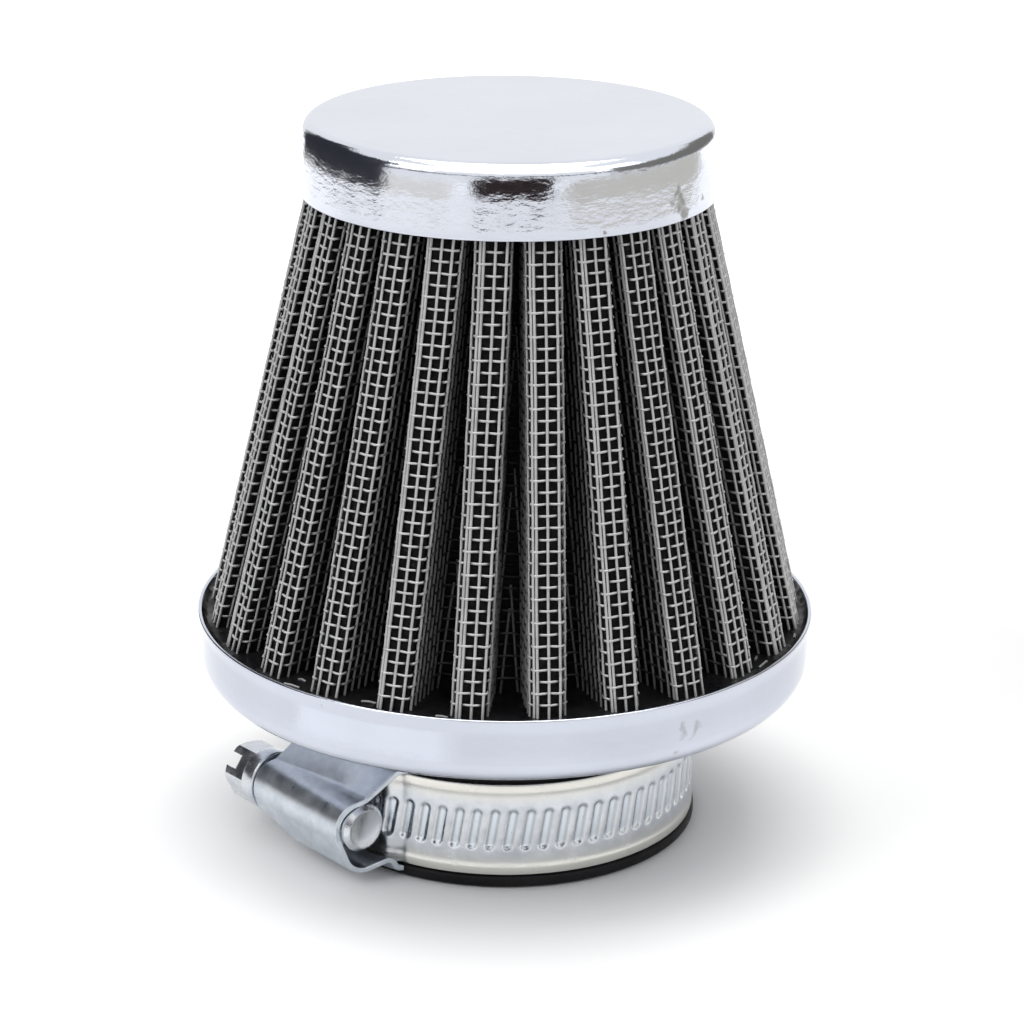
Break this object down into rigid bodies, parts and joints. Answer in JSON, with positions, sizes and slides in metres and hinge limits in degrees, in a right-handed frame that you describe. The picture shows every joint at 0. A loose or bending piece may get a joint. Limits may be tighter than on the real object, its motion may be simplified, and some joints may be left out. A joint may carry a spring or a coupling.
{
  "type": "cone air filter",
  "caption": "Clamp-on cone air filter: pleated wire screen between a bright pressed end cap and base pan, with a rubber neck and a worm-drive hose clamp.",
  "frame": {"origin": "centre of the neck's lower face, on the inlet bore's axis", "axes": "+Z along the filter's axis, from the inlet to the cap; the picture looks along +Y"},
  "size_m": [0.081, 0.081, 0.0948],
  "materials": {
    "bright_sheet": "bright plated pressed sheet with faint smudges",
    "potting": "glossy black cast potting",
    "screen_wire": "light grey woven wire",
    "filter_cloth": "black cloth, matt",
    "neck_rubber": "moulded black rubber, satin",
    "zinc_band": "zinc plated, satin",
    "zinc_housing": "zinc plated, bluish",
    "zinc_screw": "zinc plated"
  },
  "bodies": {
    "filter": {"end_cap": "bright_sheet", "cap_potting": "potting", "outer_screen": "screen_wire", "filter_media": "filter_cloth", "inner_screen": "screen_wire", "base_pan": "bright_sheet", "base_potting": "potting", "rubber_neck": "neck_rubber", "clamp_band": "zinc_band", "clamp_housing": "zinc_housing"},
    "worm_screw": {"clamp_screw": "zinc_screw"}
  },
  "joints": [
    {"name": "screw_turn", "type": "hinge", "parent": "filter", "child": "worm_screw", "pos_m": [-0.02234, -0.01942, 0.00779], "axis": [0.6561, -0.7547, 0], "continuous": true}
  ]
}
